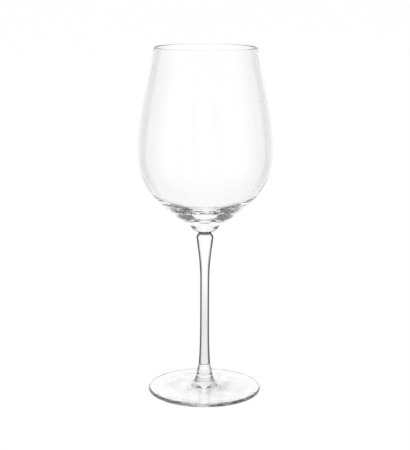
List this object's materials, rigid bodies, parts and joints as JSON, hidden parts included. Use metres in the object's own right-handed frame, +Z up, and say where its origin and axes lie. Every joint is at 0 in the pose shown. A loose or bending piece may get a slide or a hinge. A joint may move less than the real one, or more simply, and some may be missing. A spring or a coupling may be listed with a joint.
{
  "type": "wine glass",
  "caption": "Stemmed wine glass in clear glass: tulip bowl with a round solid base, slender waisted stem and flat round foot.",
  "frame": {"origin": "on the table, under the middle of the foot", "axes": "+Z up along the stem's axis of revolution; the object is round, so X and Y are any two directions square to it"},
  "size_m": [0.0882, 0.0882, 0.23],
  "materials": {
    "bowl_glass": "clear, fire-polished",
    "stem_glass": "clear, fire-polished",
    "foot_glass": "clear, fire-polished"
  },
  "bodies": {
    "root": {"foot": "foot_glass", "stem": "stem_glass", "bowl": "bowl_glass"}
  },
  "joints": []
}
